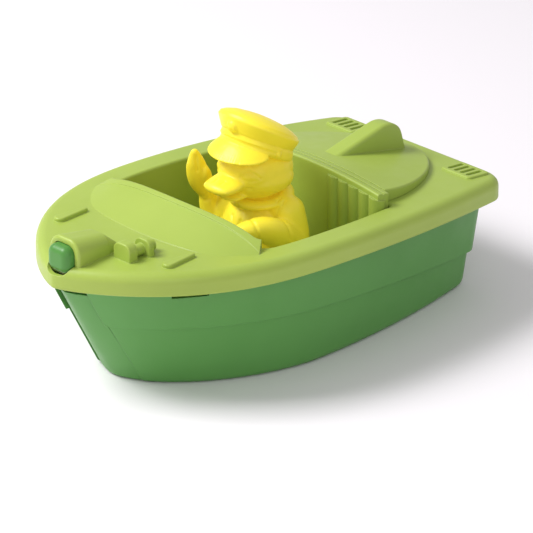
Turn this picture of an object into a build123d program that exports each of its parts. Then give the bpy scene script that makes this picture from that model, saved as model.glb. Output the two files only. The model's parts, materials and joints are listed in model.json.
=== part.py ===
"""Toy speedboat with a removable captain, sprung bow button and separate engine cover.

Frame: +X to the bow, +Y to port, +Z up.  The origin is on the surface that the boat
stands on, under the middle of its length.  All sizes are in millimetres.
"""
import os

from build123d import *

os.makedirs("parts", exist_ok=True)

# ---------------------------------------------------------------- driving dimensions
LENGTH = 280.0          # over the deck edge, bow to stern
BEAM = 162.4            # widest, over the deck edge
STERN_BEAM = 126.8      # over the deck edge at the transom
BEAM_STATION = 2.0      # X of the widest place
BOW_X = LENGTH / 2
STERN_X = -LENGTH / 2
STERN_CORNER = 15.0     # plan radius of the stern corners

DECK_HEIGHT = 75.6      # deck edge amidships
SHEER_RISE = 3.83       # deck edge height gained in each 100 mm towards the bow
SHEER_HUMP = 1.96       # and lost with the square of the distance from amidships
LIP_DEPTH = 12.6        # depth of the gunwale lip
LIP_RADIUS = 5.5        # roll of its upper edge
WALL = 2.6              # moulded wall thickness
FIT_GAP = 0.3           # clearance between pieces that slip together

RIM_DROP = WALL + 0.2   # hull rim below the deck edge, so the deck plate rests just clear of it
BILGE_RADIUS = 5.0      # rounding between the bottom and the sides
STRAKE_STEP = 1.9       # how far the upper plank stands proud of the lower one
STEM_RAKE = 37.0        # how far the stem leans between deck edge and foot
BAND_HEAD = 12.5        # half width of the bow band at deck level
BAND_FOOT = 18.0        # and at its foot
BAND_TOP = 60.0         # Z where the bow band ends under the lip
BAND_RECESS = 1.2       # the band's face lies this far inside the lower plank
BAND_DEPTH = 3.4        # the band's back face, inside the lower plank
BAND_SLOT = 2.6         # open slot beside the band's head
BAND_SLOT_FOOT = 46.0   # Z of the slot's lower end
SNAP_STATION = 89.0     # X of the snap windows under the lip
SNAP_LENGTH = 20.0
SNAP_HEIGHT = 62.4      # middle of the windows
SNAP_OPENING = 3.4
SNAP_ANGLE = 39.0       # the hull's side turns in towards the bow by this much here

COCKPIT_FRONT = 46.5    # X of the cockpit's front edge
COCKPIT_BACK = -54.0    # X of the moulded well's back wall
RIM_WIDTH = 17.5        # side deck between cockpit and deck edge
WELL_FLOOR = 14.0       # top of the cockpit floor
WELL_DRAFT = 4.8        # how far the well's sides lean in on the way down
WINDSCREEN_RISE = 8.6   # crest over the deck
WINDSCREEN_RUN = 30.0   # crest to front edge

SEAT_FACE = -45.0       # X of the seat back's front
SEAT_TOP = 86.0         # its top edge at the centre
SEAT_CROWN = 4.6        # drop of the top edge at the seat's ends
SEAT_HALF_WIDTH = 58.0
SEAT_PANEL = 19.0       # half width of the plain panel between the ribs
RIB_PITCH = 7.9
RIBS_PER_SIDE = 5
RIB_RADIUS = 4.6
COVER_SLOPE = 0.19      # how the engine cover falls towards the stern
COVER_STERN = -128.0    # X of the cover's rounded end
FIN_WIDTH = 12.0

NACELLE_FACE = 131.5    # X of the button housing's face
NACELLE_WIDTH = 23.5
NACELLE_TOP = 91.5
BUTTON_WIDTH = 16.0
BUTTON_HEIGHT = 15.0
BUTTON_MID = 80.3       # Z of the button's middle
BUTTON_TRAVEL = 3.0
PIN_HEIGHT = 79.0       # Z of the button's guide pin
PIN_RADIUS = 2.2

FIGURE_X = -10.0        # the captain's axis
NECK_HEIGHT = 78.0


def deck_height(x):
    """Height of the deck edge at station x."""
    return DECK_HEIGHT + SHEER_RISE * x / 100 - SHEER_HUMP * (x / 100) ** 2


def outline(inset=0.0, bow=BOW_X, stern=STERN_X, level=1.0, corner=STERN_CORNER):
    """Closed plan view of the boat, drawn 'inset' inside the deck edge.

    'level' runs from 0 at the round-bowed bottom to 1 at the deck edge, which carries its
    width further forward and comes to a tighter nose.
    """
    half = BEAM / 2 - inset
    half_stern = STERN_BEAM / 2 - inset
    run = bow - BEAM_STATION
    nose = (bow, (0.22 - 0.12 * level) * half)
    cheek = (BEAM_STATION + (0.796 - 0.032 * level) * run, (0.796 + 0.19 * level) * half)
    shoulder = (BEAM_STATION + (0.218 + 0.124 * level) * run, half)
    with BuildSketch() as plan:
        with BuildLine():
            Bezier((bow, 0), nose, cheek, shoulder, (BEAM_STATION, half))
            Bezier((BEAM_STATION, half), ((BEAM_STATION + stern) / 2, half), (stern, half_stern))
            Line((stern, half_stern), (stern, 0))
            mirror(about=Plane.XZ)
        make_face()
        fillet(plan.vertices().group_by(Axis.X)[0], corner)
    return plan.sketch


def sheer_band(top, bottom, reach=160.0):
    """Side view of the space between two curves that run parallel to the deck edge."""
    with BuildSketch() as band:
        with BuildLine():
            ThreePointArc(*[(x, deck_height(x) - top) for x in (-reach, 0, reach)])
            Line((reach, deck_height(reach) - top), (reach, deck_height(reach) - bottom))
            ThreePointArc(*[(x, deck_height(x) - bottom) for x in (reach, 0, -reach)])
            Line((-reach, deck_height(-reach) - bottom), (-reach, deck_height(-reach) - top))
        make_face()
    return band.sketch


def strake_height(x):
    """Height of the step between the lower and the upper plank."""
    return 34.5 + 7.3 * x / 100 - 2.0 * (x / 100) ** 2


def skin(shrink, bottom=0.0, top=72.0, proud=0.0, bilge=0.0):
    """Solid that fills the hull to a surface 'shrink' inside the lower plank."""
    with BuildPart() as solid:
        for z in (bottom, top):
            up = z / 64
            inset = 17.0 - 6.5 * up + shrink - proud
            bow = BOW_X - 5.0 - STEM_RAKE * (1 - up) - shrink + proud
            stern = STERN_X + 10.5 - 5.5 * up + shrink - proud
            with BuildSketch(Plane.XY.offset(z)):
                add(outline(inset, bow, stern, up, STERN_CORNER - shrink))
        loft(ruled=True)
        if bilge:
            fillet(solid.edges().group_by(Axis.Z)[0], bilge)
    return solid.part


def band_wedge(trim, top):
    """Front view of the bow band, wider at its foot than at its head."""
    with BuildSketch() as wedge:
        with BuildLine():
            Polyline((0, -5), (BAND_FOOT - trim, -5), (BAND_HEAD - trim, top), (0, top), close=True)
        make_face()
        mirror(about=Plane.YZ)
    return wedge.sketch


def arch(width, foot, top):
    """Front view of the button housing: upright sides and a rounded top."""
    with BuildSketch() as front:
        with Locations((0, (foot + top) / 2)):
            Rectangle(width, top - foot)
        fillet(front.vertices().group_by(Axis.Y)[-1], 0.36 * width)
    return front.sketch


def crown_view(top, half_width, drop):
    """Front view of a solid under a crowned top, from the seat back and engine cover."""
    with BuildSketch() as view:
        with BuildLine():
            ThreePointArc((-half_width, top - drop), (0, top), (half_width, top - drop))
            Polyline((half_width, top - drop), (half_width, 0), (-half_width, 0), (-half_width, top - drop))
        make_face()
    return view.sketch


def under_cover(sink, front=SEAT_FACE, length=90.0):
    """Solid below the cover's sloping crowned top, 'sink' lower than the top itself."""
    with BuildPart() as solid:
        with BuildSketch(Plane.YZ.offset(front)):
            add(crown_view(SEAT_TOP - sink, 64.0, SEAT_CROWN * 1.2))
        extrude(amount=length, dir=(-1, 0, -COVER_SLOPE))
    return solid.part


def well_plan(wall, draft):
    """Plan of the cockpit well, 'wall' outside its inner face and 'draft' in from its top."""
    front = COCKPIT_FRONT + wall
    back = COCKPIT_BACK - wall
    rim = RIM_WIDTH - wall + draft
    with BuildSketch() as plan:
        add(outline(rim, BOW_X - rim, STERN_X + rim))
        with BuildLine():
            ThreePointArc((front - 3, -80), (front, 0), (front - 3, 80))
            Polyline((front - 3, 80), (back, 80), (back, -80), (front - 3, -80))
        make_face(mode=Mode.INTERSECT)
        fillet(plan.vertices().group_by(Axis.X)[0], 3 + wall)
        fillet(plan.vertices().group_by(Axis.X)[-1], 6 + wall + 5.6 * max(draft, 0))
    return plan.sketch


def well(wall, floor):
    """Solid that fills the cockpit well out to 'wall' beyond its inner face."""
    with BuildPart() as solid:
        for z, draft in ((floor, WELL_DRAFT), (90, -0.6)):
            with BuildSketch(Plane.XY.offset(z)):
                add(well_plan(wall, draft))
        loft(ruled=True)
    return solid.part


# ---------------------------------------------------------------- shared plan views
DECK_EDGE = outline()
LIP_INSIDE = outline(RIM_DROP, BOW_X - RIM_DROP, STERN_X + RIM_DROP, corner=STERN_CORNER - RIM_DROP)

with BuildSketch() as windscreen_plan:
    with BuildLine():
        Bezier((53, 66.5), (64, 64), (77, 46), (77, 0))
        Polyline((77, 0), (40, 0), (40, 56), (53, 66.5))
    make_face()
    mirror(about=Plane.XZ)

with BuildSketch() as cover_plan:
    with BuildLine():
        Line((SEAT_FACE - 4, 54), (-56, 54))
        Bezier((-56, 54), (-86, 54), (COVER_STERN, 30), (COVER_STERN, 0))
        Polyline((COVER_STERN, 0), (SEAT_FACE - 4, 0), (SEAT_FACE - 4, 54))
    make_face()
    mirror(about=Plane.XZ)

# ---------------------------------------------------------------- hull
LOWER_PLANK = skin(0, bilge=BILGE_RADIUS)
BAND_BACK = skin(BAND_DEPTH, -1)

with BuildPart() as upper_plank:
    add(skin(0, 10, proud=STRAKE_STEP))
    with BuildSketch(Plane.XZ):
        with BuildLine():
            ThreePointArc(*[(x, strake_height(x)) for x in (-160, 0, 160)])
            Polyline((160, strake_height(160)), (160, 90), (-160, 90), (-160, strake_height(-160)))
        make_face()
    extrude(amount=100, both=True, mode=Mode.INTERSECT)

with BuildPart() as band_seat:
    with BuildSketch(Plane.YZ.offset(60)):
        add(band_wedge(0, 90))
    extrude(amount=100)
    with BuildSketch(Plane.YZ.offset(60)):
        for side in (-1, 1):
            with Locations((side * BAND_HEAD, (BAND_SLOT_FOOT + 90) / 2)):
                Rectangle(2 * BAND_SLOT, 90 - BAND_SLOT_FOOT)
    extrude(amount=100)
    add(BAND_BACK, mode=Mode.SUBTRACT)

with BuildPart() as band_doubler:
    add(BAND_BACK)
    add(skin(BAND_DEPTH + 2.0, WALL), mode=Mode.SUBTRACT)
    with BuildSketch(Plane.YZ.offset(60)):
        add(band_wedge(-2.5, 90))
    extrude(amount=100, mode=Mode.INTERSECT)

with BuildPart() as hull:
    add(LOWER_PLANK)
    add(upper_plank.part)
    add(skin(WALL, WALL, 80), mode=Mode.SUBTRACT)
    add(band_doubler.part)
    add(band_seat.part, mode=Mode.SUBTRACT)
    with BuildSketch(Plane.XZ):
        add(sheer_band(RIM_DROP, 100))
    extrude(amount=100, both=True, mode=Mode.INTERSECT)
    # the rim slips inside the lip, with a notch at the bow for the button housing
    with BuildSketch():
        add(outline(RIM_DROP + 0.3, BOW_X - RIM_DROP - 0.3, STERN_X + RIM_DROP + 0.3, corner=STERN_CORNER - RIM_DROP))
    extrude(amount=100, mode=Mode.INTERSECT)
    with Locations((115, 0, 76)):
        Box(60, 27, 20, mode=Mode.SUBTRACT)
    # windows that the deck's snap hooks reach into
    for side in (-1, 1):
        with Locations(Location((SNAP_STATION, side * 52, SNAP_HEIGHT), (0, 0, -side * SNAP_ANGLE))):
            Box(SNAP_LENGTH, 16, SNAP_OPENING, mode=Mode.SUBTRACT)
hull.part.label = "hull"
export_step(hull.part, "parts/hull.step")

# ---------------------------------------------------------------- bow band
with BuildPart() as stem_post:
    add(skin(BAND_RECESS, bilge=BILGE_RADIUS - BAND_RECESS))
    add(skin(BAND_DEPTH - 0.1, -1), mode=Mode.SUBTRACT)
    with BuildSketch(Plane.YZ.offset(60)):
        add(band_wedge(FIT_GAP, BAND_TOP))
    extrude(amount=100, mode=Mode.INTERSECT)
stem_post.part.label = "stem_post"
export_step(stem_post.part, "parts/stem_post.step")

# ---------------------------------------------------------------- deck
with BuildPart() as underside:
    with BuildSketch(Plane.XY.offset(30)):
        add(LIP_INSIDE)
    extrude(amount=70)
    with BuildSketch(Plane.XZ):
        add(sheer_band(WALL, 60))
    extrude(amount=100, both=True, mode=Mode.INTERSECT)

with BuildPart() as well_box:
    add(well(2.2, WELL_FLOOR - 2.2))
    with BuildSketch(Plane.XZ):
        add(sheer_band(1.0, 100))
    extrude(amount=100, both=True, mode=Mode.INTERSECT)

with BuildPart() as windscreen:
    # the rise is measured at the cockpit's edge, and the form starts a little behind it
    behind = 5.0
    fall = WINDSCREEN_RISE / WINDSCREEN_RUN
    base = deck_height(COCKPIT_FRONT) + 0.8 + behind * fall
    foot = deck_height(COCKPIT_FRONT) - WALL
    for lift, length in ((0, 40), (0.8, behind + 3.2)):
        crest = base + WINDSCREEN_RISE + lift
        with BuildSketch(Plane.YZ.offset(COCKPIT_FRONT - behind)):
            with BuildLine():
                Bezier((0, crest), (32, crest), (50, crest - 0.3), (67, base - 1))
                Polyline((67, base - 1), (67, foot), (0, foot), (0, crest))
            make_face()
            mirror(about=Plane.YZ)
        extrude(amount=length, dir=(1, 0, -fall))
    with BuildSketch(Plane.XY.offset(foot)):
        add(windscreen_plan.sketch)
    extrude(amount=60, mode=Mode.INTERSECT)

with BuildPart() as nacelle:
    for x, width, top in ((97, 12, 79.5), (108, 20, 88), (NACELLE_FACE, NACELLE_WIDTH, NACELLE_TOP)):
        with BuildSketch(Plane.YZ.offset(x)):
            add(arch(width, 70, top))
    loft(ruled=True)
    fillet(nacelle.faces().sort_by(Axis.X)[-1].edges().filter_by(lambda e: e.center().Z > 72), 1.6)

with BuildPart() as reliefs:
    # teardrop ridges on the foredeck and vent frames on the quarters, all 1 to 2 mm high
    with BuildSketch(Plane.XY.offset(60)):
        for side in (-1, 1):
            with BuildSketch() as ridge:
                with Locations((96, side * 42.6)):
                    Circle(3.3)
                with Locations((78.5, side * 42.2)):
                    Circle(1.6)
                make_hull()
    extrude(amount=60)
    with BuildSketch(Plane.XZ):
        add(sheer_band(-2.2, 6))
    extrude(amount=100, both=True, mode=Mode.INTERSECT)
    for face in reliefs.faces().sort_by(Axis.Z)[-2:]:
        fillet(face.edges(), 1.0)

with BuildPart() as vents:
    with BuildSketch(Plane.XY.offset(50)):
        with Locations((-126, 45.5), (-126, -45.5)):
            RectangleRounded(17, 22, 2.5)
    extrude(amount=60)
    with BuildSketch(Plane.XZ):
        add(sheer_band(-1.2, 2))
    extrude(amount=100, both=True, mode=Mode.INTERSECT)
    for face in vents.faces().sort_by(Axis.Z)[-2:]:
        fillet(face.edges(), 0.8)
    with BuildSketch(Plane.XY.offset(50)):
        for side in (-1, 1):
            with Locations((-126, side * 45.5)):
                with GridLocations(1, 4.6, 1, 4):
                    SlotOverall(12, 2.6)
    extrude(amount=60, mode=Mode.SUBTRACT)

with BuildPart() as windlass:
    # anchor winch beside the centreline: front plate, drum, rear plate and spindle end
    for x, length, y, width, top in ((102.5, 6, 19.7, 13, 87), (92, 3.5, 21.7, 12, 86.5)):
        with BuildSketch(Plane.YZ.offset(x)):
            with Locations((y, 0)):
                add(arch(width, 74, top))
        extrude(amount=length)
    fillet(windlass.edges().filter_by(lambda e: e.center().Z > 79), 0.8)
    with Locations(Plane.YZ.offset(87.5)):
        with Locations((21, 80.8)):
            Cylinder(3.2, 20, align=(Align.CENTER, Align.CENTER, Align.MIN))

with BuildPart() as gunwale:
    # one side is rounded over and then mirrored, so that the roll meets itself at the bow
    with BuildSketch(Plane.XY.offset(40)):
        add(DECK_EDGE)
        with Locations((0, BEAM)):
            Rectangle(2 * LENGTH, 2 * BEAM, mode=Mode.INTERSECT)
    extrude(amount=60)
    with BuildSketch(Plane.XZ):
        add(sheer_band(0, LIP_DEPTH))
    extrude(amount=100, both=True, mode=Mode.INTERSECT)
    fillet(gunwale.faces().sort_by(Axis.Z)[-1].edges().filter_by(lambda e: e.center().Y > 0.1), LIP_RADIUS)
    fillet(gunwale.faces().sort_by(Axis.Z)[0].edges().filter_by(lambda e: e.center().Y > 0.1), 1.2)
    mirror(about=Plane.XZ)

with BuildPart() as deck:
    add(gunwale.part)
    add(underside.part, mode=Mode.SUBTRACT)
    add(well_box.part)
    add(windscreen.part)
    add(nacelle.part)
    add(reliefs.part)
    add(vents.part)
    add(windlass.part)
    # cockpit well, open at the top
    add(well(0, WELL_FLOOR), mode=Mode.SUBTRACT)
    # button pocket, its guide hole, and the space behind it for the clip
    with BuildSketch(Plane.YZ.offset(117)):
        with Locations((0, BUTTON_MID)):
            RectangleRounded(BUTTON_WIDTH + 2 * FIT_GAP, BUTTON_HEIGHT + 2 * FIT_GAP, 5)
    extrude(amount=40, mode=Mode.SUBTRACT)
    with BuildSketch(Plane.YZ.offset(113)):
        with Locations((0, PIN_HEIGHT)):
            Circle(PIN_RADIUS + 0.06)
    extrude(amount=5, mode=Mode.SUBTRACT)
    with Locations((108.8, 0, 71.6)):
        Box(10.4, 11, 24, mode=Mode.SUBTRACT)
    # the cockpit's long edges are rolled over
    rolled = [e for e in deck.edges() if e.length > 80 and e.center().Z > 72 and 55 < abs(e.center().Y) < 66]
    fillet(rolled, 1.5)
    # snap hooks that hang inside the hull's wall, with barbs in its windows
    for side in (-1, 1):
        for out, length, thick, low, high in ((45.6, 16, 2.0, 61.2, 75.5), (48.0, 15, 3.0, 61.2, 63.6)):
            with Locations(Location((SNAP_STATION, side * out, (low + high) / 2), (0, 0, -side * SNAP_ANGLE))):
                Box(length, thick, high - low)
deck.part.label = "deck"
export_step(deck.part, "parts/deck.step")

# ---------------------------------------------------------------- engine cover and seat back
with BuildPart() as ribs:
    with BuildSketch(Plane.XY.offset(WELL_FLOOR + 1)):
        for side in (-1, 1):
            for rib in range(RIBS_PER_SIDE):
                y = side * (SEAT_PANEL + (rib + 0.5) * RIB_PITCH)
                with Locations((SEAT_FACE - RIB_RADIUS + 1.8, y)):
                    Circle(RIB_RADIUS)
    extrude(amount=90)
    add(under_cover(2.6, SEAT_FACE + 5), mode=Mode.INTERSECT)
    add(well(-0.7, WELL_FLOOR), mode=Mode.INTERSECT)

with BuildPart() as piping:
    # two shallow grooves along the top of the seat back leave rolled piping between them
    for x in (SEAT_FACE - 5.0, SEAT_FACE - 9.5):
        with BuildSketch(Plane.YZ.offset(x)):
            Rectangle(130, 220)
        extrude(amount=1.2)
    add(under_cover(0.9), mode=Mode.SUBTRACT)

with BuildPart() as fin:
    with BuildSketch(Plane.XZ):
        with BuildLine():
            Line((-66, 82), (-100, 89.6))
            TangentArc((-100, 89.6), (-114.5, 86), tangent=(-34, 7.6))
            Polyline((-114.5, 86), (-119.0, 70.5), (-66, 74.5), (-66, 82))
        make_face()
    extrude(amount=FIN_WIDTH / 2, both=True)
    fillet(fin.edges().group_by(Axis.Z)[-1] + fin.edges().filter_by(GeomType.CIRCLE), 2.5)

with BuildPart() as seat_back:
    # hangs down inside the cockpit well
    with BuildSketch(Plane.XY.offset(WELL_FLOOR + 0.2)):
        with Locations(((SEAT_FACE + COCKPIT_BACK) / 2 + 0.1, 0)):
            Rectangle(SEAT_FACE - COCKPIT_BACK - 0.4, 2 * SEAT_HALF_WIDTH)
    extrude(amount=90)
    add(well(-0.7, WELL_FLOOR), mode=Mode.INTERSECT)

with BuildPart() as engine_cover:
    with BuildSketch(Plane.XY.offset(50)):
        add(cover_plan.sketch)
    extrude(amount=60)
    with BuildSketch(Plane.XZ):
        add(sheer_band(-40, -0.1))
    extrude(amount=100, both=True, mode=Mode.INTERSECT)
    add(seat_back.part)
    add(under_cover(0), mode=Mode.INTERSECT)
    crown = engine_cover.faces().sort_by(Axis.Z)[-1]
    fillet(crown.edges().filter_by(lambda e: e.length > 100), 1.2)
    add(piping.part, mode=Mode.SUBTRACT)
    add(ribs.part)
    add(fin.part)
engine_cover.part.label = "engine_cover"
export_step(engine_cover.part, "parts/engine_cover.step")

# ---------------------------------------------------------------- bow button, spring and clip
CLIP_X = 112.0          # front of the retaining clip, which bears on the guide wall
with BuildPart() as bow_button:
    with BuildSketch(Plane.YZ.offset(124)):
        with Locations((0, BUTTON_MID)):
            RectangleRounded(BUTTON_WIDTH, BUTTON_HEIGHT, 5)
    extrude(amount=13.5)
    fillet(bow_button.edges().group_by(Axis.X)[-1], 4.2)
    with Locations(Plane.YZ.offset(107.8)):
        with Locations((0, PIN_HEIGHT)):
            Cylinder(PIN_RADIUS, 17, align=(Align.CENTER, Align.CENTER, Align.MIN))
    with BuildSketch(Plane.YZ.offset(CLIP_X - 1.3)):
        with Locations((0, PIN_HEIGHT)):
            Circle(PIN_RADIUS + 1)
            Circle(PIN_RADIUS - 0.6, mode=Mode.SUBTRACT)
    extrude(amount=1.3, mode=Mode.SUBTRACT)
bow_button.part.label = "bow_button"
export_step(bow_button.part, "parts/bow_button.step")

with BuildPart() as button_clip:
    with BuildSketch(Plane.YZ.offset(CLIP_X - 1.2)):
        with Locations((0, PIN_HEIGHT)):
            Circle(4.0)
            Circle(PIN_RADIUS - 0.55, mode=Mode.SUBTRACT)
        with Locations((0, PIN_HEIGHT - 3)):
            Rectangle(2.6, 4, mode=Mode.SUBTRACT)
    extrude(amount=1.1)
button_clip.part.label = "button_clip"
export_step(button_clip.part, "parts/button_clip.step")

with BuildPart() as button_spring:
    with BuildLine():
        coil = Helix(pitch=2.0, height=6.0, radius=3.1, center=(117.4, 0, PIN_HEIGHT), direction=(1, 0, 0))
    with BuildSketch(Plane(coil @ 0, z_dir=coil % 0)):
        Circle(0.35)
    sweep(is_frenet=True)
button_spring.part.label = "button_spring"
export_step(button_spring.part, "parts/button_spring.step")

# ---------------------------------------------------------------- captain
SEAT_Z = WELL_FLOOR + 0.3
with BuildPart() as captain_body:
    for z, length, width, x in (
        (SEAT_Z, 42, 50, -12),
        (32, 46, 56, -12),
        (50, 44, 56, -13),
        (66, 34, 48, -14),
        (NECK_HEIGHT - 0.5, 22, 26, -12),
    ):
        with BuildSketch(Plane.XY.offset(z)):
            with Locations((x, 0)):
                Ellipse(length / 2, width / 2)
    loft()
    # arms: shoulder, elbow and wrist joined by tapering limbs
    for path, radii in (
        (((-15, 21, 67), (-17, 29, 52), (14, 22, 58)), (9.0, 8.0, 5.5)),
        (((-12, -20, 67), (0, -28, 51), (3, -29, 74)), (8.5, 7.5, 5.5)),
    ):
        for start, end, r1, r2 in zip(path, path[1:], radii, radii[1:]):
            limb = Plane(start, z_dir=Vector(*end) - Vector(*start))
            reach = (Vector(*end) - Vector(*start)).length
            with BuildSketch(limb):
                Circle(r1)
            with BuildSketch(limb.offset(reach)):
                Circle(r2)
            loft()
        for point, radius in zip(path, radii):
            with Locations(point):
                Sphere(radius)
    # wing-like hands: one resting forward, one raised in a wave
    for sections, x_dir, z_dir in (
        (((12, 22, 58, 6, 6), (21, 20.5, 61, 7.5, 4.2), (29, 18, 63, 3.5, 2)), (0, 1, 0), (1, -0.2, 0.3)),
        (((3, -31, 72, 5, 4), (7, -32, 86, 8, 4.5), (8, -33, 98, 4, 2.5)), (0.4, -0.9, 0), (0.15, 0.05, 1)),
    ):
        for x, y, z, wide, thick in sections:
            with BuildSketch(Plane((x, y, z), x_dir=x_dir, z_dir=z_dir)):
                Ellipse(wide, thick)
        loft()
    with Locations((FIGURE_X, 0, NECK_HEIGHT - 1)):
        Cylinder(7, 10, align=(Align.CENTER, Align.CENTER, Align.MIN))
captain_body.part.label = "captain_body"
export_step(captain_body.part, "parts/captain_body.step")

with BuildPart() as captain_head:
    with Locations((FIGURE_X + 2, 0, 92)):
        Sphere(21.5)
    with Locations((FIGURE_X + 6, 11, 87), (FIGURE_X + 6, -11, 87)):
        Sphere(12)
    # bill, upper and lower, with the mouth a little open
    for sections in (
        ((8, 88.5, 12.5, 6.5), (22, 88.2, 13.0, 3.6), (36, 90.2, 8.0, 1.4)),
        ((8, 83.2, 9.0, 3.4), (22, 82.6, 9.5, 2.0), (31, 83.6, 6.0, 1.0)),
    ):
        for x, z, wide, thick in sections:
            with BuildSketch(Plane.YZ.offset(FIGURE_X + x)):
                with Locations((0, z)):
                    Ellipse(wide, thick)
        loft()
    split(bisect_by=Plane.XY.offset(NECK_HEIGHT + 0.3), keep=Keep.TOP)
    with Locations((FIGURE_X, 0, NECK_HEIGHT)):
        Cylinder(7.06, 9.5, align=(Align.CENTER, Align.CENTER, Align.MIN), mode=Mode.SUBTRACT)
captain_head.part.label = "captain_head"
export_step(captain_head.part, "parts/captain_head.step")

with BuildPart() as captain_cap:
    # band, flared crown tilted back from a tall front, and a visor
    with BuildSketch(Plane.XY.offset(101.5)):
        with Locations((FIGURE_X + 2, 0)):
            Circle(20.2)
    extrude(amount=6)
    with BuildSketch(Plane.XY.offset(107.5)):
        with Locations((FIGURE_X + 2, 0)):
            Circle(20.2)
    brim = Plane((FIGURE_X + 1, 0, 116.5), x_dir=(1, 0, 0.36), z_dir=(-0.36, 0, 1))
    with BuildSketch(brim):
        Circle(23.0)
    loft()
    with BuildSketch(brim):
        Circle(23.0)
    with BuildSketch(brim.offset(3.5)):
        Circle(20.0)
    loft()
    visor = Plane((FIGURE_X + 8, 0, 103.5), x_dir=(1, 0, -0.42), z_dir=(0.42, 0, 1))
    with BuildSketch(visor):
        Ellipse(24, 20)
    extrude(amount=2)
    with Locations(Plane((FIGURE_X + 22.5, 0, 113), z_dir=(1, 0, -0.1))):
        Cylinder(4, 3)
    # the head fills the cap from below
    with Locations((FIGURE_X + 2, 0, 92)):
        Sphere(21.6, mode=Mode.SUBTRACT)
captain_cap.part.label = "captain_cap"
export_step(captain_cap.part, "parts/captain_cap.step")
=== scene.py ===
# %% [markdown]
# # A toy speedboat and its captain
# The boat is a handful of large plastic mouldings: a hull, a deck that caps it, an engine cover and a
# push button at the bow.  Their shapes come ready made from the CAD frame.  The captain is a soft
# vinyl figure, which is too rounded for CAD, so he is sculpted here in mesh code.

# %% Load the frame
import json
import math

import bmesh
import bpy
import numpy as np
from mathutils import Euler, Matrix, Vector
from mathutils.bvhtree import BVHTree


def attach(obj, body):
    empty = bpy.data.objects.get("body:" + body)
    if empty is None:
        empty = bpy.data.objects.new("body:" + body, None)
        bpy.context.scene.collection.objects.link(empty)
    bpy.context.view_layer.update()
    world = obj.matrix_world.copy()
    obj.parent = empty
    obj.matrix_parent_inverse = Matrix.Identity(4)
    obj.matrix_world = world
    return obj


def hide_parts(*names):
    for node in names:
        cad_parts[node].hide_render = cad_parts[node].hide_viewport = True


MM = 0.001
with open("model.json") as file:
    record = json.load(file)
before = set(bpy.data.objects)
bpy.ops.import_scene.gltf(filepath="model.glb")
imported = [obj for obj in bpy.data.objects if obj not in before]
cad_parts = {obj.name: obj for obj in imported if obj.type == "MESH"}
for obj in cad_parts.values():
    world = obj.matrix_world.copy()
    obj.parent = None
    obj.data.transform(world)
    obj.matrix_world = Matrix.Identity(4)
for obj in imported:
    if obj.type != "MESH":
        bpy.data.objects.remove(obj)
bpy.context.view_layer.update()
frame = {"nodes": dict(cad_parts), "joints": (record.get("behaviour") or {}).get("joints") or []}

# %% [markdown]
# ## A working point
# The captain is built round his neck, because that is where his head turns, and the frame says where the
# neck is.  Every size on him is in millimetres ahead of, to port of and above that point.

# %% The neck, taken from the frame
neck_joint = next(joint for joint in frame["joints"] if joint["name"] == "head_turn")
NECK = Vector(neck_joint["pos_m"])


def from_neck(forward, port, up):
    """Turns millimetres ahead of, to port of and above the neck into a place in the scene."""
    return NECK + Vector((forward, port, up)) * MM


print("neck at", tuple(round(value / MM, 1) for value in NECK), "mm")

# %% [markdown]
# ## Plastic that looks moulded
# Toy plastic is never one flat colour.  The colour drifts a little where the melt flowed, and a fine grain
# from the tool breaks up the shine.  Rounded edges get a painted highlight, a paler colour that also stands
# for light wear.  Light also sinks in a little, which softens the shadows, so the shader gets a touch of
# subsurface scattering.

# %% Short hands for wiring nodes and choosing colours
def new_node(tree, kind, values=(), **settings):
    """Adds a shader node, sets its plain properties, and then its input sockets."""
    node = tree.nodes.new(kind)
    for key, value in settings.items():
        setattr(node, key, value)
    for socket, value in dict(values).items():
        if isinstance(value, bpy.types.NodeSocket):
            tree.links.new(value, node.inputs[socket])
        else:
            node.inputs[socket].default_value = value
    return node


def linear(red, green, blue):
    """A colour chosen as it looks on screen, turned into the linear values that shaders use."""
    steps = [value / 255 for value in (red, green, blue)]
    return tuple(v / 12.92 if v <= 0.04045 else ((v + 0.055) / 1.055) ** 2.4 for v in steps) + (1.0,)


print("plain white is", linear(255, 255, 255))


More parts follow.
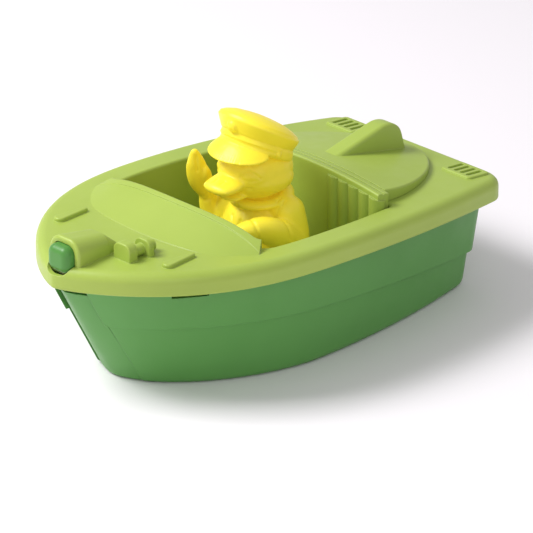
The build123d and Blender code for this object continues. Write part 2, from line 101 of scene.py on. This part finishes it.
# %% The moulded plastic
def moulded_plastic(name, colour, deep, pale, roughness, waxy, soft_edge, grain=0.45, painted_glow=0.0):
    """Plastic whose colour drifts from 'deep' through 'colour', with 'pale' painted on rounded edges as a
    highlight and light wear.

    The last argument is a painted glow: an emission in the plastic's own colour that lifts its shaded side.
    """
    material = bpy.data.materials.new(name)
    material.use_nodes = True
    tree = material.node_tree
    tree.nodes.clear()
    place = new_node(tree, "ShaderNodeTexCoord").outputs["Object"]

    # slow drift of colour from the flow of the melt
    flow = new_node(tree, "ShaderNodeTexNoise", {"Vector": place, "Scale": 14.0, "Detail": 3.0})
    drift = new_node(tree, "ShaderNodeValToRGB", {"Fac": flow.outputs["Fac"]})
    drift.color_ramp.elements[0].position = 0.3
    drift.color_ramp.elements[0].color = deep
    drift.color_ramp.elements[1].position = 0.62
    drift.color_ramp.elements[1].color = colour

    # painted highlight: rounded edges, where a rounded normal leaves the true one, turn paler; this also
    # stands for light wear
    rounded = new_node(tree, "ShaderNodeBevel", {"Radius": soft_edge * MM}, samples=6)
    true_normal = new_node(tree, "ShaderNodeNewGeometry")
    facing = new_node(tree, "ShaderNodeVectorMath", operation="DOT_PRODUCT",
                      values={0: rounded.outputs["Normal"], 1: true_normal.outputs["Normal"]})
    edge_highlight_mask = new_node(tree, "ShaderNodeMapRange",
                    {"Value": facing.outputs["Value"], "From Min": 0.995, "From Max": 0.80,
                     "To Min": 0.0, "To Max": 0.38})
    # painted highlight: the pale colour is mixed in along the rounded edges
    colour_with_edge_highlight = new_node(tree, "ShaderNodeMix", data_type="RGBA")
    tree.links.new(edge_highlight_mask.outputs["Result"], colour_with_edge_highlight.inputs["Factor"])
    tree.links.new(drift.outputs["Color"], colour_with_edge_highlight.inputs[6])
    colour_with_edge_highlight.inputs[7].default_value = pale

    # tool grain is a fine bump, and the shine varies in broad patches
    fine = new_node(tree, "ShaderNodeTexNoise", {"Vector": place, "Scale": 1400.0, "Detail": 2.0})
    broad = new_node(tree, "ShaderNodeTexNoise", {"Vector": place, "Scale": 90.0, "Detail": 4.0})
    shine = new_node(tree, "ShaderNodeMapRange",
                     {"Value": broad.outputs["Fac"], "From Min": 0.3, "From Max": 0.7,
                      "To Min": roughness - 0.05, "To Max": roughness + 0.06})
    bump = new_node(tree, "ShaderNodeBump",
                    {"Height": fine.outputs["Fac"], "Strength": grain, "Distance": 0.03 * MM,
                     "Normal": rounded.outputs["Normal"]})

    shader = new_node(tree, "ShaderNodeBsdfPrincipled",
                      {"Base Color": colour_with_edge_highlight.outputs[2], "Roughness": shine.outputs["Result"],
                       "Normal": bump.outputs["Normal"]})
    shader.inputs["IOR"].default_value = 1.48
    shader.inputs["Specular IOR Level"].default_value = 0.42
    shader.inputs["Subsurface Weight"].default_value = waxy
    shader.inputs["Subsurface Radius"].default_value = (1.0, 0.9, 0.35)
    shader.inputs["Subsurface Scale"].default_value = 1.6 * MM
    # painted glow: an emission in the plastic's own colour brightens the shaded side
    tree.links.new(colour_with_edge_highlight.outputs[2], shader.inputs["Emission Color"])
    shader.inputs["Emission Strength"].default_value = painted_glow
    new_node(tree, "ShaderNodeOutputMaterial", {"Surface": shader.outputs["BSDF"]})
    print("made material", name, "with", len(tree.nodes), "nodes")
    return material


# %% [markdown]
# ## The plastics of this toy
# Leaf green for the hull, lime for the deck, a deeper green for the button, and lemon vinyl for the
# captain, which has a faint painted glow that lifts its shaded side.

# %% Four plastics
hull_plastic = moulded_plastic("hull_green_plastic", linear(92, 152, 74), linear(86, 145, 68),
                               linear(122, 182, 100), 0.42, 0.10, 0.5)
deck_plastic = moulded_plastic("deck_green_plastic", linear(167, 188, 84), linear(160, 181, 78),
                               linear(196, 210, 126), 0.40, 0.12, 0.7)
button_plastic = moulded_plastic("button_green_plastic", linear(82, 142, 64), linear(76, 134, 58),
                                 linear(122, 172, 98), 0.36, 0.10, 0.5)
# the captain's vinyl gets a faint painted glow that lifts its shaded side
captain_vinyl = moulded_plastic("captain_yellow_vinyl", linear(250, 232, 62), linear(246, 224, 52),
                                linear(255, 242, 112), 0.40, 0.22, 0.3, painted_glow=0.08)


# %% [markdown]
# ## Wire
# The clip and the return spring behind the button are drawn steel: bright, with a worn, uneven shine.

# %% Wire for the spring and clip
def bright_wire(name):
    """Drawn steel wire whose shine is uneven."""
    material = bpy.data.materials.new(name)
    material.use_nodes = True
    tree = material.node_tree
    tree.nodes.clear()
    place = new_node(tree, "ShaderNodeTexCoord").outputs["Object"]
    lines = new_node(tree, "ShaderNodeTexNoise", {"Vector": place, "Scale": 2600.0, "Detail": 2.0})
    worn = new_node(tree, "ShaderNodeMapRange",
                    {"Value": lines.outputs["Fac"], "To Min": 0.22, "To Max": 0.4})
    steel = new_node(tree, "ShaderNodeBsdfPrincipled", {"Roughness": worn.outputs["Result"]})
    steel.inputs["Base Color"].default_value = (0.62, 0.62, 0.6, 1)
    steel.inputs["Metallic"].default_value = 1.0
    new_node(tree, "ShaderNodeOutputMaterial", {"Surface": steel.outputs["BSDF"]})
    print("made material", name, "with", len(tree.nodes), "nodes")
    return material


spring_wire = bright_wire("bright_spring_wire")

# %% [markdown]
# ## Dressing the mouldings
# The hull, bow band, deck, cover and button keep their CAD shapes.  Each only gets its plastic.

# %% Dress the CAD nodes
FINISHES = {
    "hull": hull_plastic, "stem_post": hull_plastic, "deck": deck_plastic, "engine_cover": deck_plastic,
    "bow_button": button_plastic, "button_clip": spring_wire, "button_spring": spring_wire,
}
for node_name, finish in FINISHES.items():
    node = frame["nodes"][node_name]
    node.data.materials.clear()
    node.data.materials.append(finish)
print("dressed", len(FINISHES), "nodes")

# %% [markdown]
# ## Sculpting the captain
# The figure is soft vinyl cast in a rounded mould, so nothing on him is flat or sharp.  Each piece is
# massed from overlapping pebbles, which a voxel remesh melts into one skin.  Folds, seams and lips are
# then pressed into that skin along drawn lines, as a sculptor works with a wire tool.

# %% Massing with pebbles
SMALLEST_PEBBLE = 0.6


def pebble(mass, centre, radii, turn=(0, 0, 0), detail=3):
    """Adds one ellipsoid, placed from the neck, with its radii in millimetres and its turn in degrees."""
    tilt = Euler([math.radians(angle) for angle in turn]).to_matrix().to_4x4()
    size = Matrix.Diagonal((*(radius * MM for radius in radii), 1))
    place = Matrix.Translation(from_neck(*centre)) @ tilt @ size
    bmesh.ops.create_icosphere(mass, subdivisions=detail, radius=1, matrix=place)


def trail(mass, stops, turn=(0, 0, 0), steps=14):
    """Adds pebbles along a smooth line.  Each stop holds a centre and radii."""
    rows = np.array([[*centre, *radii] for centre, radii in stops], float)
    for step in np.linspace(0, len(rows) - 1, steps * (len(rows) - 1) + 1):
        index = min(int(step), len(rows) - 2)
        before, after = rows[max(index - 1, 0)], rows[min(index + 2, len(rows) - 1)]
        first, second, t = rows[index], rows[index + 1], step - index
        curve = 0.5 * (2 * first + (second - before) * t
                       + (2 * before - 5 * first + 4 * second - after) * t ** 2
                       + (3 * first - before - 3 * second + after) * t ** 3)
        pebble(mass, curve[:3], np.maximum(curve[3:], SMALLEST_PEBBLE), turn)


def melt(name, mass, voxel=0.7, rounds=6):
    """Turns the pebbles into one smooth closed skin."""
    mesh = bpy.data.meshes.new(name)
    mass.to_mesh(mesh)
    mass.free()
    piece = bpy.data.objects.new(name, mesh)
    bpy.context.collection.objects.link(piece)
    remesh = piece.modifiers.new("melt", "REMESH")
    remesh.mode = "VOXEL"
    remesh.voxel_size = voxel * MM
    smooth = piece.modifiers.new("thumb", "SMOOTH")
    smooth.iterations = rounds
    smooth.factor = 0.5
    settle(piece)
    print(name, "has", len(piece.data.vertices), "points")
    return piece


def settle(piece):
    """Makes the modifiers' result the piece's own mesh."""
    graph = bpy.context.evaluated_depsgraph_get()
    graph.update()
    made = bpy.data.meshes.new_from_object(piece.evaluated_get(graph))
    piece.modifiers.clear()
    piece.data = made
    made.shade_smooth()


# %% [markdown]
# ## The wire tool
# A line is drawn near the skin, laid onto it, and every point near the line moves in or out along its
# own normal.  The push fades away from the line, so a seam has soft shoulders.

# %% Pressing lines into the skin
LINE_STEP = 0.4
REACH = 3


def points_of(piece):
    """The places of a piece's points, one row each."""
    flat = np.empty(len(piece.data.vertices) * 3)
    piece.data.vertices.foreach_get("co", flat)
    return flat.reshape(-1, 3)


def normals_of(piece):
    """The normals of a piece's points, one row each."""
    flat = np.empty(len(piece.data.vertices) * 3)
    piece.data.vertex_normals.foreach_get("vector", flat)
    return flat.reshape(-1, 3)


def press(piece, line, depth, width):
    """Moves the skin in by 'depth' along a line drawn near it, fading over 'width'.

    The line is first laid onto the skin.  A negative depth raises a bead instead.
    """
    tree = BVHTree.FromPolygons([point.co for point in piece.data.vertices],
                                [tuple(face.vertices) for face in piece.data.polygons])
    laid = []
    for start, end in zip(line, line[1:]):
        start, end = from_neck(*start), from_neck(*end)
        for share in np.linspace(0, 1, max(int((end - start).length / (LINE_STEP * MM)), 2)):
            laid.append(tree.find_nearest(start.lerp(end, share))[0])
    laid = np.array(laid)
    where = points_of(piece)
    low, high = laid.min(0) - REACH * width * MM, laid.max(0) + REACH * width * MM
    near = np.flatnonzero(((where > low) & (where < high)).all(axis=1))
    gap = np.linalg.norm(where[near, None] - laid[None], axis=2).min(axis=1)
    push = depth * MM * np.exp(-(gap / (width * MM)) ** 2)
    where[near] -= normals_of(piece)[near] * push[:, None]
    piece.data.vertices.foreach_set("co", where.ravel())
    piece.data.update()


# %% [markdown]
# ## Body
# A seated barrel of a torso in a short jacket.  The port arm lies across the front and the starboard arm
# is up in a wave.

# %% Body
mass = bmesh.new()
trail(mass, (((-2, 0, -54), (20, 24, 11)), ((-2, 0, -38), (22, 26, 12)), ((-4, 0, -22), (20, 23, 12)),
             ((-5, 0, -12), (15, 18, 8))))
for side in (-1, 1):
    pebble(mass, (-6, side * 15, -11), (10, 10, 8))
# collar that the jaw rests in
COLLAR_STEPS = 60
for step in range(COLLAR_STEPS):
    angle = math.tau * step / COLLAR_STEPS
    pebble(mass, (-2 + 14 * math.cos(angle), 16 * math.sin(angle), -5.5 - 2 * math.cos(angle)),
           (4, 4, 2.6))
# port arm rests forward, and its sleeve bags at the elbow
trail(mass, (((-6, 18, -12), (9.5, 9, 9)), ((-5, 22, -27), (9.5, 9.5, 9.5)),
             ((9, 24, -18.5), (8.5, 8, 8)), ((18, 22, -14.5), (7.5, 7.2, 7.2)), ((27, 19, -14), (6, 6, 5.4)),
             ((34, 16, -14.5), (3, 3.2, 2.6))))
# starboard arm is raised to wave
trail(mass, (((-3, -18, -13), (9, 8.5, 9)), ((5, -26, -27), (7.5, 7.5, 7.5)),
             ((8, -29, -19), (6, 5.5, 6)), ((9, -30, -12), (5, 4.6, 5))))
# the waving wing: a broad palm with blunt feather fingers, and a thumb
trail(mass, (((10, -30, -10), (4.6, 3.6, 5)), ((15, -30, -2), (6, 3.6, 6)),
             ((16.5, -30.5, 5), (6, 3.2, 6)), ((17, -31, 11), (4, 2.6, 4)),
             ((17.5, -31, 14.6), (2.4, 1.8, 2.4))), turn=(0, 8, -35))
trail(mass, (((12, -27, -2), (3.4, 3, 4)), ((13, -26.5, 2), (3, 2.6, 3.2)),
             ((13.5, -26.5, 5), (2, 1.8, 2))))
captain_body = melt("captain_in_jacket", mass)

# %% [markdown]
# ## Jacket seams
# The front closing, the lapels with their piping, creases at the elbow and cuffs, grooves between the
# feather fingers, a pocket line and the hem.

# %% Seams and folds of the jacket
press(captain_body, ((21, 1, -8), (21, 1.5, -20), (21, 1.5, -34), (20, 1.5, -50)), 1.2, 0.9)
# the starboard lapel
press(captain_body, ((14, -12, -6), (18, -7, -14), (20, -3.5, -22), (20, -2, -28)), 0.8, 0.8)
# the port lapel and its piping
press(captain_body, ((-1.8, 17, -3.4), (6.5, 17, -10.2), (11, 17, -11.7), (15, 12, -18), (19, 6, -25)),
      0.8, 0.7)
press(captain_body, ((-1.8, 19, -5.2), (6, 19, -12), (12, 17, -14)), 0.6, 0.6)
# creases at the elbow and the cuff
press(captain_body, ((2, 32, -24), (5, 31, -20), (6, 27, -14), (4, 22, -11)), 0.8, 1.2)
press(captain_body, ((-2, 32, -30), (3, 33, -27), (8, 32, -24)), 0.6, 1.1)
press(captain_body, ((24, 26, -20), (24.5, 25, -13), (23, 20, -10), (22, 15, -14)), 0.7, 0.8)
press(captain_body, ((30, 22, -14), (33, 19, -14)), 0.5, 1.0)
press(captain_body, ((12, -33, -14), (9, -35, -13), (5, -30, -12), (9, -25, -12), (12, -28, -14)),
      0.6, 0.9)
# shallow grooves between the feather fingers
for stop in (-2.4, 1.2):
    press(captain_body, ((18 + stop * 0.4, -29 + stop, 5), (18 + stop * 0.4, -30 + stop, 13)), 0.45, 0.9)
# the pocket line, and the hem all the way round
press(captain_body, ((23, 12, -30), (23, 4, -29), (23, -4, -29), (22, -12, -30)), 0.6, 0.8)
HEM_STOPS = 40
press(captain_body, [(-2 + 22.5 * math.cos(angle), 27.5 * math.sin(angle), -42)
                     for angle in np.linspace(0, math.tau, HEM_STOPS)], 0.9, 1.1)
print("jacket seams pressed")

# %% [markdown]
# ## Head
# A round duck's head with full cheeks that sit low, a broad rounded bill over a smaller lower one, a
# smiling mouth line, and a closed, smiling eye on each side.

# %% Head
mass = bmesh.new()
pebble(mass, (1.5, 0, 11), (21.2, 20.6, 17))
for side in (-1, 1):
    pebble(mass, (1, side * 7.5, 7.5), (16.5, 14.5, 9))
    pebble(mass, (15.4, side * 12.0, 13), (2.6, 3.2, 2.0), (0, 12, side * 36))
trail(mass, (((15, 0, 9), (6, 10, 5)), ((24, 0, 7), (6, 11, 4.2)), ((30, 0, 6.4), (4.5, 9.8, 3.4))))
trail(mass, (((14, 0, 0.5), (6, 9, 3)), ((21, 0, -0.5), (4.5, 8, 1.8))))
captain_head = melt("captain_duck_head", mass, voxel=0.6, rounds=4)
# on each side the arch of the closed eye, the crease under it, and a nostril
for side in (-1, 1):
    lid = [(x, side * y, z) for x, y, z in
           ((20, 8.2, 12.5), (19.6, 9.6, 15.6), (18, 12, 16.6), (15.6, 14.4, 15), (13.6, 16.6, 12.4))]
    press(captain_head, lid, 0.6, 0.7)
    press(captain_head, ((19.6, side * 9.4, 11.4), (17.6, side * 12.4, 10.8), (14.6, side * 15.6, 11.2)),
          0.35, 0.7)
    press(captain_head, ((30, side * 2.4, 9.4), (27, side * 2.8, 10.4)), 0.45, 0.7)
mouth = [(33, 0, 3.4), (30, 6, 3.4), (25, 10.5, 3.4), (21.4, 12.7, 4.2), (18.6, 14.0, 5.6)]
press(captain_head, mouth, 0.9, 0.9)
press(captain_head, [(x, -y, z) for x, y, z in mouth], 0.9, 0.9)
print("eyes, nostrils and mouth pressed")

# %% [markdown]
# ## Cap
# A peaked captain's cap: a round band with a strap and a button at each end, a crown that flares to a
# rolled seam and stands tall at the front, and a curved visor.  A plain disc is the badge.

# %% Cap
STITCHES = 96
# each ring from the band up to the crown: its centre ahead of the neck, its height, radius and slope
CAP_RINGS = (
    (0.6, 20.2, 19.4, 0.47), (0.5, 21.3, 20.3, 0.47), (0.2, 24.0, 20.6, 0.48), (0.0, 26.6, 20.6, 0.49),
    (-0.3, 28.6, 21.2, 0.51), (-0.7, 31.2, 22.5, 0.54), (-1.0, 33.4, 23.4, 0.56), (-1.2, 34.6, 23.3, 0.56),
    (-1.5, 36.0, 22.0, 0.56), (-1.9, 37.6, 19.0, 0.56), (-2.3, 39.2, 14.0, 0.56), (-2.5, 40.1, 7.0, 0.56),
    (-2.6, 40.4, 1.5, 0.56),
)


def cap_ring(forward, up, radius, slope, angle):
    """A point on a ring of the cap.  The ring's plane climbs by 'slope' towards the front."""
    tilt = math.atan(slope)
    ahead = radius * math.cos(angle) * math.cos(tilt)
    return forward + ahead, radius * math.sin(angle), up + ahead * slope


mass = bmesh.new()
rings = [[mass.verts.new(from_neck(*cap_ring(*row, math.tau * step / STITCHES))) for step in range(STITCHES)]
         for row in CAP_RINGS]
for lower, upper in zip(rings, rings[1:]):
    for step in range(STITCHES):
        after = (step + 1) % STITCHES
        mass.faces.new((lower[step], lower[after], upper[after], upper[step]))
mass.faces.new(list(reversed(rings[0])))
mass.faces.new(rings[-1])

# visor: a thin curved shelf that hangs from the front of the band
VISOR_HALF_ANGLE = math.radians(63)
VISOR_REACH, VISOR_DROP = 9.6, 7.6
VISOR_RIBS, RIB_STOPS = 41, 10
for turn in np.linspace(-1, 1, VISOR_RIBS):
    angle = turn * VISOR_HALF_ANGLE
    root = np.array(cap_ring(0.5, 21.8, 19.6, 0.47, angle))
    # the shelf runs out to nothing at its two ends
    reach = math.cos(turn * math.pi / 2) ** 0.55
    for share in np.linspace(0, 1, RIB_STOPS):
        out, drop = VISOR_REACH * share * reach, VISOR_DROP * share ** 1.25 * reach
        spot = root + np.array((math.cos(angle) * out, math.sin(angle) * out, -drop))
        pebble(mass, spot, (1.1, 1.1, 0.9), detail=1)
# strap buttons and the plain badge
STRAP_END = 80
for side in (-1, 1):
    spot = cap_ring(0.4, 23.2, 21.2, 0.475, side * math.radians(STRAP_END))
    pebble(mass, spot, (1.7, 0.9, 1.7), detail=2)
pebble(mass, (19.4, 0, 39.2), (1.3, 3.4, 3.4), (0, 8, 0), detail=3)
captain_cap = melt("captain_peaked_cap", mass, voxel=0.5, rounds=2)
CAP_LINE_STOPS = 30


def cap_line(forward, up, radius, slope, first, last):
    """A run round the cap between two angles in degrees."""
    return [cap_ring(forward, up, radius, slope, math.radians(angle))
            for angle in np.linspace(first, last, CAP_LINE_STOPS)]


# the strap stands up between two beads; two seams run right round
press(captain_cap, cap_line(0.3, 24.9, 20.8, 0.48, -82, 82), -0.5, 0.6)
press(captain_cap, cap_line(0.4, 22.3, 20.8, 0.47, -STRAP_END, STRAP_END), -0.35, 0.5)
press(captain_cap, cap_line(0.0, 27.2, 20.8, 0.49, -180, 180), 0.5, 0.7)
press(captain_cap, cap_line(-1.1, 35.2, 23.4, 0.56, -180, 180), 0.35, 0.6)
# a ring pressed into the badge
BADGE_RING, BADGE_STOPS = 1.9, 24
press(captain_cap, [(21, BADGE_RING * math.cos(angle), 39.2 + BADGE_RING * math.sin(angle))
                    for angle in np.linspace(0, math.tau, BADGE_STOPS)], 0.35, 0.35)
print("strap, seams and badge pressed")

# %% [markdown]
# ## Putting him aboard
# The sculpted body rides on the captain, and the head and cap ride on the head, so that they turn with
# it.  Each takes the place of the plain CAD piece and keeps one colour slot.

# %% Fit the captain to his bodies
for piece, body, node_name in ((captain_body, "captain", "captain_body"),
                               (captain_head, "head", "captain_head"),
                               (captain_cap, "head", "captain_cap")):
    piece.data.materials.clear()
    piece.data.materials.append(captain_vinyl)
    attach(piece, body)
    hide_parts(node_name)
print("captain dressed")

# %% [markdown]
# ## Floor
# A plain pale floor, wide enough to run out of the picture on every side.

# %% Floor
bpy.ops.mesh.primitive_grid_add(x_subdivisions=8, y_subdivisions=8, size=12)
floor = bpy.context.object
floor.name = "studio_floor"
floor_material = bpy.data.materials.new("pale_floor")
floor_material.use_nodes = True
floor_shader = floor_material.node_tree.nodes["Principled BSDF"]
floor_shader.inputs["Base Color"].default_value = (0.94, 0.90, 0.94, 1)
floor_shader.inputs["Roughness"].default_value = 0.9
floor_shader.inputs["Specular IOR Level"].default_value = 0.1
floor.data.materials.append(floor_material)
print("floor laid")

# %% [markdown]
# ## Light
# One soft light stands high off the starboard bow, so the shadow falls to port and aft.  A weaker and
# wider one ahead to port opens up the shaded side, and the pale air around does the rest.


# %% Lights
def soft_light(name, place, target, size, watts, colour=(1, 1, 1)):
    """A square softbox at 'place' that points at 'target'."""
    data = bpy.data.lights.new(name, "AREA")
    data.shape = "SQUARE"
    data.size = size
    data.energy = watts
    data.color = colour
    lamp = bpy.data.objects.new(name, data)
    lamp.location = place
    lamp.rotation_euler = (Vector(target) - Vector(place)).to_track_quat("-Z", "Y").to_euler()
    bpy.context.collection.objects.link(lamp)
    return lamp


middle = Vector((0, 0, 0.05))
soft_light("key_softbox", (0.68, -0.62, 1.15), middle, 0.6, 20)
soft_light("fill_softbox", (0.9, 1.1, 0.7), middle, 1.0, 3.4)
world = bpy.data.worlds.new("studio_air")
world.use_nodes = True
world.node_tree.nodes["Background"].inputs["Color"].default_value = (1, 1, 1, 1)
world.node_tree.nodes["Background"].inputs["Strength"].default_value = 0.5
bpy.context.scene.world = world
bpy.context.scene.view_settings.view_transform = "Standard"

# %% [markdown]
# ## Camera
# A long lens from well back, off the port bow and a little above, keeps the boat's lines nearly parallel.

# %% Camera
AZIMUTH = math.radians(136.21)
ELEVATION = math.radians(23.97)
DISTANCE = 2.926
LENS, SENSOR = 361.35, 36
SHIFT_X, SHIFT_Y = 0.0424, -0.0026
aim = Vector((0, 0, 0.035))
back = Vector((math.sin(AZIMUTH) * math.cos(ELEVATION), -math.cos(AZIMUTH) * math.cos(ELEVATION),
               math.sin(ELEVATION)))
camera_data = bpy.data.cameras.new("camera")
camera_data.lens = LENS
camera_data.sensor_width = SENSOR
camera_data.shift_x = SHIFT_X
camera_data.shift_y = SHIFT_Y
camera = bpy.data.objects.new("camera", camera_data)
camera.location = aim + back * DISTANCE
camera.rotation_mode = "QUATERNION"
camera.rotation_quaternion = (-back).to_track_quat("-Z", "Y")
bpy.context.collection.objects.link(camera)
bpy.context.scene.camera = camera
print("camera stands at", [round(value, 3) for value in camera.location])
